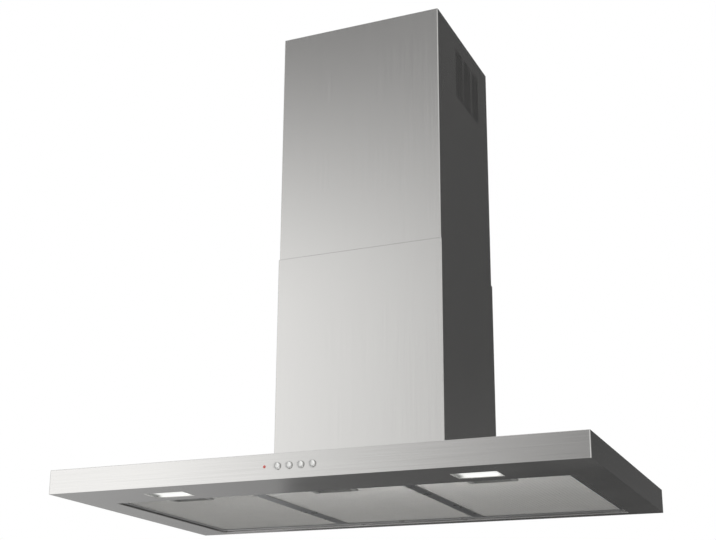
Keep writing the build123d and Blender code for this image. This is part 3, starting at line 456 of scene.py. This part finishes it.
def turned_aluminium(name, centre):
    """Aluminium faced on a lathe: a bright cap whose fine rings turn its highlight into a fan. The rings
    are drawn 0.5 mm apart round this centre, so that they show."""
    material, tree, output = new_material(name)
    place = add_node(tree, "TexCoord").outputs["Object"]
    local = add_node(tree, "Mapping", {"vector_type": "TEXTURE", "Location": centre}, {"Vector": place})
    ring_pitch = 0.0005
    rings = add_node(tree, "TexWave", {
        "wave_type": "RINGS", "rings_direction": "Y", "Scale": math.tau / 20 / ring_pitch,
        "Distortion": 0.6, "Detail": 1.0}, {"Vector": local.outputs[0]})
    tone = add_node(tree, "MapRange", {3: 0.93, 4: 1.0}, {"Value": rings.outputs["Fac"]})
    colour = add_node(tree, "VectorMath", {"operation": "SCALE", 0: linear("dddddb")}, {
        "Scale": tone.outputs[0]})
    relief = add_node(tree, "Bump", {"Strength": 0.4, "Distance": 0.00003}, {
        "Height": rings.outputs["Fac"]})
    shader = add_node(tree, "BsdfPrincipled", {"Metallic": 1.0, "Roughness": 0.24}, {
        "Base Color": colour.outputs[0], "Normal": relief.outputs[0]})
    tree.links.new(shader.outputs[0], output.inputs["Surface"])
    return material


low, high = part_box("button_1")
x, z = (low.x + high.x) / 2, (low.z + high.z) / 2
nose, stem_end = low.y, high.y
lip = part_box("canopy_shell")[0].y + front_sheet + lip_gap
lip_radius = (high.x - low.x) / 2
bpy.ops.object.select_all(action="DESELECT")
bpy.ops.mesh.primitive_cylinder_add(vertices=64, radius=cap_radius, depth=lip - nose,
                                    location=(x, (nose + lip) / 2, z), rotation=(math.pi / 2, 0, 0))
bpy.ops.object.transform_apply(location=True, rotation=True, scale=True)
cap = bpy.context.object
cap.name = "cap_button_1"
bpy.ops.object.mode_set(mode="EDIT")
pick_faces(lambda middle, normal: normal.y < -0.9)
bpy.ops.mesh.inset(thickness=rim_width)
for width, fall in dish_steps:
    bpy.ops.mesh.inset(thickness=width, depth=-fall)
pick_faces(lambda middle, normal: normal.y > 0.9)
extrude((0, 0, 0))
bpy.ops.transform.resize(value=(lip_radius / cap_radius, 1, lip_radius / cap_radius),
                         center_override=(x, lip, z))
extrude((0, lip_thickness, 0))
bpy.ops.mesh.inset(thickness=lip_radius - stem_radius)
extrude((0, stem_end - lip - lip_thickness, 0))
pick_edges(lambda end: end.y < nose + hair
           and math.hypot(end.x - x, end.z - z) > cap_radius - rim_width - 10 * hair)
bpy.ops.mesh.bevel(offset=rim_round, segments=3, affect="EDGES")
bpy.ops.mesh.select_all(action="SELECT")
bpy.ops.mesh.normals_make_consistent(inside=False)
bpy.ops.object.mode_set(mode="OBJECT")
bpy.ops.object.shade_smooth_by_angle(angle=math.radians(35))

caps = {"button_1": cap}
for button in button_names[1:]:
    caps[button] = copy_of(cap, f"cap_{button}", (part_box(button)[0].x - low.x, 0, 0))
for button, piece in caps.items():
    centre = (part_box(button)[0].x + lip_radius, nose, z)
    piece.data.materials.append(turned_aluminium(f"turned_aluminium_{button}", centre))
    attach(piece, button)
    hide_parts(button)


# ------------------------------------------------------------------ electrics on the pan
# A black moulded terminal box with two cable entries, and the motor's capacitor in its pale moulded can.
# Both lie on the pan, inside the canopy.

# Milky off-white with a waxy half gloss.
pale_moulding = grained("pale_moulded_polypropylene", "d9d9d2", metallic=0.0, roughness=0.35, grain=0.001,
                        depth=0.00001)
paint(["terminal_box"], black_moulding)
paint(["capacitor"], pale_moulding)


# ------------------------------------------------------------------ blower: scroll, wheel and motor
# Galvanised sheet for the scroll and the motor's spider, a black moulded wheel on a plated shaft, a cast
# aluminium motor and rubber bushes.

def galvanised_sheet(name, code, roughness):
    """Hot-dip galvanised steel. The zinc sets in flat crystals some 12 mm across, each of another tone and
    gloss, and its dull bloom scatters some of the light."""
    material, tree, output = new_material(name)
    place = add_node(tree, "TexCoord").outputs["Object"]
    crystal = 0.012
    warp = add_node(tree, "TexNoise", {"Scale": 0.7 / crystal, "Detail": 2.0}, {"Vector": place})
    bent = add_node(tree, "VectorMath", {"operation": "MULTIPLY_ADD", 1: [crystal * 0.8] * 3}, {
        0: warp.outputs["Color"], 2: place})
    crystals = add_node(tree, "TexVoronoi", {"Scale": 1 / crystal}, {"Vector": bent.outputs[0]})
    shade = add_node(tree, "SeparateXYZ", None, {0: crystals.outputs["Color"]})
    tone = add_node(tree, "MapRange", {3: 0.84, 4: 1.1}, {"Value": shade.outputs["X"]})
    colour = add_node(tree, "VectorMath", {"operation": "SCALE", 0: linear(code)}, {
        "Scale": tone.outputs[0]})
    rough = add_node(tree, "MapRange", {3: roughness - 0.07, 4: roughness + 0.08}, {
        "Value": shade.outputs["Y"]})
    relief = add_node(tree, "Bump", {"Strength": 0.15, "Distance": 0.0002}, {
        "Height": crystals.outputs["Distance"]})
    shader = add_node(tree, "BsdfPrincipled", {"Metallic": 0.8}, {
        "Base Color": colour.outputs[0], "Roughness": rough.outputs[0], "Normal": relief.outputs[0]})
    tree.links.new(shader.outputs[0], output.inputs["Surface"])
    return material


galvanised = galvanised_sheet("galvanised_sheet", "b9bdbf", 0.42)
# Bright zinc plating: light grey, with a fine uneven shine.
zinc_plated = grained("zinc_plated_steel", "b8bab8", metallic=1.0, roughness=0.3, grain=0.0012,
                      depth=0.000005, tone=0.06)
# Die-cast and left raw: grey, dull and granular.
cast_aluminium = grained("cast_aluminium", "a9abac", metallic=1.0, roughness=0.5, grain=0.0016,
                         depth=0.00006, tone=0.08)
# Matt black that takes almost no highlight.
black_rubber = grained("black_rubber", "19191a", metallic=0.0, roughness=0.75, grain=0.0012, depth=0.00002)
paint(["scroll_wrap", "scroll_side_left", "scroll_side_right", "motor_bracket"], galvanised)
paint(["impeller"], black_moulding)
paint(["motor_shaft"], zinc_plated)
paint(["motor"], cast_aluminium)
paint(["rubber_bushes"], black_rubber)


# ------------------------------------------------------------------ blower box and its gland
# A folded galvanised box on the canopy, with base flanges for its screws. A black moulded gland in its
# top takes the mains cable, which isn't made.

paint(["blower_box"], galvanised)
paint(["cable_gland"], black_moulding)


# ------------------------------------------------------------------ screws
# Zinc-plated pan-head screws with a cross recess: four in the blower box's flanges, four in the chimney
# angles and four in the ceiling bracket. The threads are left out.

head_radius, head_height, shank_radius = 0.0035, 0.0022, 0.002
head_round = 0.6 * head_height
recess_length, recess_width, recess_depth = 0.0034, 0.0007, 0.0013
angle_shank = 0.002


def pan_head_screw(name, shank):
    """A screw that stands on the Z axis, with its head's underside at zero."""
    bpy.ops.object.select_all(action="DESELECT")
    bpy.ops.mesh.primitive_cylinder_add(vertices=32, radius=head_radius, depth=head_height,
                                        location=(0, 0, head_height / 2))
    bpy.ops.object.transform_apply(location=True, rotation=True, scale=True)
    made = bpy.context.object
    made.name = name
    bpy.ops.object.mode_set(mode="EDIT")
    pick_faces(lambda middle, normal: normal.z < -0.9)
    bpy.ops.mesh.inset(thickness=head_radius - shank_radius)
    extrude((0, 0, -shank))
    pick_edges(lambda end: end.z > head_height - hair)
    bpy.ops.mesh.bevel(offset=head_round, segments=5, affect="EDGES")
    bpy.ops.object.mode_set(mode="OBJECT")
    for turn in (0, math.pi / 2):
        bpy.ops.object.select_all(action="DESELECT")
        bpy.ops.mesh.primitive_cube_add(size=1, location=(0, 0, head_height), rotation=(0, 0, turn),
                                        scale=(recess_length, recess_width, 2 * recess_depth))
        bpy.ops.object.transform_apply(location=True, rotation=True, scale=True)
        cutter = bpy.context.object
        bpy.ops.object.select_all(action="DESELECT")
        bpy.context.view_layer.objects.active = made
        made.select_set(True)
        recess = made.modifiers.new("recess", "BOOLEAN")
        recess.operation = "DIFFERENCE"
        recess.object = cutter
        bpy.ops.object.modifier_apply(modifier="recess")
        bpy.data.objects.remove(cutter)
    return made


def screw_group(node, body, shank, turn, seats):
    """One piece from a screw at each of these seats, in place of the CAD node. The seats are where the
    heads' undersides lie, and turn takes a screw's axis from +Z to where its head points."""
    name = f"pan_head_{node}"
    first = pan_head_screw(name, shank)
    screws = [first] + [copy_of(first, name) for seat in seats[1:]]
    bpy.ops.object.select_all(action="DESELECT")
    for screw, seat in zip(screws, seats):
        screw.data.transform(Matrix.Translation(seat) @ turn)
        screw.select_set(True)
    bpy.context.view_layer.objects.active = first
    bpy.ops.object.join()
    bpy.ops.object.shade_smooth_by_angle(angle=math.radians(30))
    first.data.materials.append(zinc_plated)
    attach(first, body)
    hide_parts(node)


def head_corners(node, axes):
    """The four head middles of a group whose heads fill the corners of its box along these axes."""
    low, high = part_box(node)
    ends = [(low[axis] + head_radius, high[axis] - head_radius) for axis in axes]
    return [(a, b) for a in ends[0] for b in ends[1]]


for node in ("box_screws", "chimney_screws"):
    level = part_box(node)[1].z - head_height
    seats = [(x, y, level) for x, y in head_corners(node, (0, 1))]
    screw_group(node, "hood", angle_shank, Matrix.Identity(4), seats)
low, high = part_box("ceiling_screws")
seats = [(x, low.y + head_height, z) for x, z in head_corners("ceiling_screws", (0, 2))]
screw_group("ceiling_screws", "upper_section", high.y - low.y - head_height,
            Matrix.Rotation(math.pi / 2, 4, "X"), seats)


# ------------------------------------------------------------------ duct collar and flaps
# A moulded collar and two half-round flaps that hang on a plated pin across it, so that air goes out and
# none comes back.

# Dark grey, half matt and finely grained.
grey_moulding = grained("grey_moulded_abs", "4b4c4e", metallic=0.0, roughness=0.5, grain=0.001,
                        depth=0.00004)
paint(["outlet_collar", "flap_front", "flap_rear"], grey_moulding)
paint(["flap_pin"], zinc_plated)


# ------------------------------------------------------------------ brackets
# Pressed galvanised brackets that are screwed to the wall and near the ceiling, and the angles that hold
# the chimney on the canopy.

paint(["wall_bracket", "ceiling_bracket", "chimney_angles"], galvanised)


# ------------------------------------------------------------------ chimney: two sheet sections
# The same stainless sheet as the canopy, brushed upright, folded to a U and returned at the wall. The
# lower section's top edge is deburred, and that narrow chamfer is painted near black as painted shade,
# so it shows as a thin dark line round the joint.

fold_radius = 0.002
deburr = 0.0006
upright_brush = (0, 0, 1)
steel_upright = brushed_steel("stainless_brushed_upright", upright_brush, "d5d4d2", 0.25, 0.03)
paint(["upper_chimney"], steel_upright)
lower_section = own_copy("lower_chimney", "lower_chimney_sheet", "hood", steel_upright)
low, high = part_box("lower_chimney")


def on_outer_rim(end):
    """True for a point of the top edge's outer line, on the front, the sides or the folds between them."""
    across_fold = max(abs(end.x) - (high.x - fold_radius), 0)
    along_fold = max(low.y + fold_radius - end.y, 0)
    return (end.z > high.z - hair and end.y < -fold_radius
            and math.hypot(across_fold, along_fold) > fold_radius - 10 * hair)


bpy.ops.object.mode_set(mode="EDIT")
pick_edges(on_outer_rim)
bpy.ops.mesh.bevel(offset=deburr, segments=1, affect="EDGES")
bpy.ops.object.mode_set(mode="OBJECT")
bpy.ops.object.shade_smooth_by_angle(angle=math.radians(30))


# ------------------------------------------------------------------ grease filters: frames
# Channel frames rolled from aluminium sheet, each held in the pan by two tabs at its rear and by its
# latch in front.

filter_names = ["left", "middle", "right"]
# Etched to a light, even satin.
satin_aluminium = grained("satin_aluminium_sheet", "c4c5c6", metallic=1.0, roughness=0.3, grain=0.0012,
                          depth=0.000006, tone=0.03)
paint([f"filter_frame_{name}" for name in filter_names], satin_aluminium)


# ------------------------------------------------------------------ grease filters: mesh packs
# A pleated foil mesh between two sheets of expanded aluminium. The sheet is slit and stretched, so its
# strands slope up and down from knot to knot round diamonds, which are larger on the upper sheet. They
# are drawn coarser than real ones, so that they show.

face_cell, face_strand = (0.0065, 0.0044), 0.0009
back_cell, back_strand = (0.013, 0.0088), 0.0012
sheet_thickness = 0.0012
pleat_count = 22
pleat_inset = 1.4 * sheet_thickness
foil_thickness = 0.0004
pocket_gap = 0.0003
pack_low, pack_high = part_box("filter_mesh_middle")
pack_width, pack_depth = pack_high.x - pack_low.x, pack_high.y - pack_low.y
pack_x, pack_y = (pack_low.x + pack_high.x) / 2, (pack_low.y + pack_high.y) / 2
notch_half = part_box("latch_pocket_middle")[1].x + pocket_gap
notch_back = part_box("latch_pocket_middle")[1].y + pocket_gap


def lift_points(test, rise):
    """In edit mode, lifts the points whose place passes this test."""
    bpy.ops.mesh.select_mode(type="VERT")
    bpy.ops.mesh.select_all(action="DESELECT")
    bpy.ops.object.mode_set(mode="OBJECT")
    for point in bpy.context.object.data.vertices:
        point.select = test(point.co)
    bpy.ops.object.mode_set(mode="EDIT")
    bpy.ops.transform.translate(value=(0, 0, rise))


def cut_notch(margin):
    """In edit mode, cuts the latch pocket's place out of the sheet; margin is one cell or more."""
    for place, normal in (((notch_half, 0, 0), (1, 0, 0)), ((-notch_half, 0, 0), (1, 0, 0)),
                          ((0, notch_back, 0), (0, 1, 0))):
        pick_faces(lambda middle, _: abs(middle.x) < notch_half + margin and middle.y < notch_back + margin)
        bpy.ops.mesh.bisect(plane_co=place, plane_no=normal)
    pick_faces(lambda middle, _: abs(middle.x) < notch_half and middle.y < notch_back)
    bpy.ops.mesh.delete(type="FACE")


def expanded_sheet(name, cell, strand, low_level):
    """Expanded sheet over the middle filter from this level up, with diamonds of this size."""
    rise = sheet_thickness - 0.6 * strand
    middle = Vector((pack_x, pack_y, low_level + (sheet_thickness - rise) / 2))
    count = math.ceil(pack_width / cell[0] + pack_depth / cell[1]) + 2
    side = count / math.sqrt(2)
    bpy.ops.object.select_all(action="DESELECT")
    bpy.ops.mesh.primitive_grid_add(x_subdivisions=count, y_subdivisions=count, size=side, location=middle)
    bpy.ops.object.transform_apply(location=True, rotation=True, scale=True)
    made = bpy.context.object
    made.name = name
    bpy.ops.object.mode_set(mode="EDIT")
    bpy.ops.mesh.select_all(action="SELECT")
    bpy.ops.transform.rotate(value=math.radians(45), orient_axis="Z", center_override=middle)
    bpy.ops.transform.resize(value=(cell[0], cell[1], 1), center_override=middle)
    lift_points(lambda knot: round((knot.y - pack_y) / (cell[1] / 2)) % 2, rise)
    for place, normal in ((pack_low, (-1, 0, 0)), (pack_low, (0, -1, 0)), (pack_high, (1, 0, 0)),
                          (pack_high, (0, 1, 0))):
        bpy.ops.mesh.select_all(action="SELECT")
        bpy.ops.mesh.bisect(plane_co=place, plane_no=normal, clear_outer=True)
    cut_notch(cell[0])
    bpy.ops.object.mode_set(mode="OBJECT")
    strands = made.modifiers.new("strands", "WIREFRAME")
    strands.thickness = strand
    strands.use_even_offset = False
    bpy.ops.object.modifier_apply(modifier="strands")
    return made


def pleated_foil(name, low_level, high_level):
    """Pleated foil between the two sheets of the middle filter."""
    middle = Vector((pack_x, pack_y, low_level))
    bpy.ops.object.select_all(action="DESELECT")
    bpy.ops.mesh.primitive_grid_add(x_subdivisions=2 * pleat_count, y_subdivisions=12, size=1,
                                    location=middle)
    bpy.ops.transform.resize(value=(pack_width, pack_depth, 1), center_override=middle)
    bpy.ops.object.transform_apply(location=True, rotation=True, scale=True)
    made = bpy.context.object
    made.name = name
    bpy.ops.object.mode_set(mode="EDIT")
    lift_points(lambda point: round((point.x - pack_low.x) / pack_width * 2 * pleat_count) % 2,
                high_level - low_level)
    cut_notch(pack_width / pleat_count)
    bpy.ops.object.mode_set(mode="OBJECT")
    wall = made.modifiers.new("wall", "SOLIDIFY")
    wall.thickness = foil_thickness
    wall.offset = 0
    bpy.ops.object.modifier_apply(modifier="wall")
    return made


# Raw rolled aluminium, a little dull and uneven from the stretching.
expanded_aluminium = grained("expanded_aluminium", "bfbebb", metallic=1.0, roughness=0.45, grain=0.003,
                             depth=0.00001, tone=0.05)

# Its fine mesh reads as bright strands round holes, drawn about 1.8 mm wide. The foil is a solid sheet,
# and its holes are painted shade: dark where the shade behind them would show through.
foil_cell = 0.0018
foil_mesh, tree, output = new_material("fine_aluminium_foil_mesh")
place = add_node(tree, "TexCoord").outputs["Object"]
holes = add_node(tree, "TexVoronoi", {"feature": "DISTANCE_TO_EDGE", "Scale": 1 / foil_cell}, {
    "Vector": place})
tone = add_node(tree, "MapRange", {1: 0.06, 2: 0.2, 3: 1.0, 4: 0.12}, {"Value": holes.outputs["Distance"]})
colour = add_node(tree, "VectorMath", {"operation": "SCALE", 0: linear("b4b5b7")}, {
    "Scale": tone.outputs[0]})
relief = add_node(tree, "Bump", {"Strength": 0.6, "Distance": 0.0003, "invert": True}, {
    "Height": holes.outputs["Distance"]})
shader = add_node(tree, "BsdfPrincipled", {"Metallic": 1.0, "Roughness": 0.5}, {
    "Base Color": colour.outputs[0], "Normal": relief.outputs[0]})
tree.links.new(shader.outputs[0], output.inputs["Surface"])

pack_layers = [
    (expanded_sheet("filter_face_middle", face_cell, face_strand, pack_low.z), expanded_aluminium),
    (expanded_sheet("filter_back_middle", back_cell, back_strand, pack_high.z - sheet_thickness),
     expanded_aluminium),
    (pleated_foil("filter_foil_middle", pack_low.z + pleat_inset, pack_high.z - pleat_inset), foil_mesh)]
for layer, material in pack_layers:
    layer.data.materials.append(material)
    for name in filter_names:
        piece = layer
        if name != "middle":
            move = (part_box(f"filter_mesh_{name}")[0].x - pack_low.x, 0, 0)
            piece = copy_of(layer, layer.name.replace("middle", name), move)
        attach(piece, f"filter_{name}")
        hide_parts(f"filter_mesh_{name}")


# ------------------------------------------------------------------ filter latches
# Grey moulded pockets in the filters' front edges, each with a lighter pull bar that two zigzag leaf
# springs push forwards. The springs shorten by the bar's travel; each is a piece with its own mesh, copied
# from the CAD spring.

# Both are coarsely grained, so that fingers grip them, and half matt.
pocket_moulding = grained("grey_grained_abs", "a2a2a0", metallic=0.0, roughness=0.5, grain=0.0008,
                          depth=0.00005)
bar_moulding = grained("light_grey_grained_abs", "bcbcba", metallic=0.0, roughness=0.42, grain=0.0008,
                       depth=0.00004)
paint([f"latch_pocket_{name}" for name in filter_names], pocket_moulding)
paint([f"latch_handle_{name}" for name in filter_names], bar_moulding)
for name in filter_names:
    node = f"latch_spring_{name}"
    spring = own_copy(node, f"zigzag_spring_{name}", f"filter_{name}", spring_steel)
    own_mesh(spring)
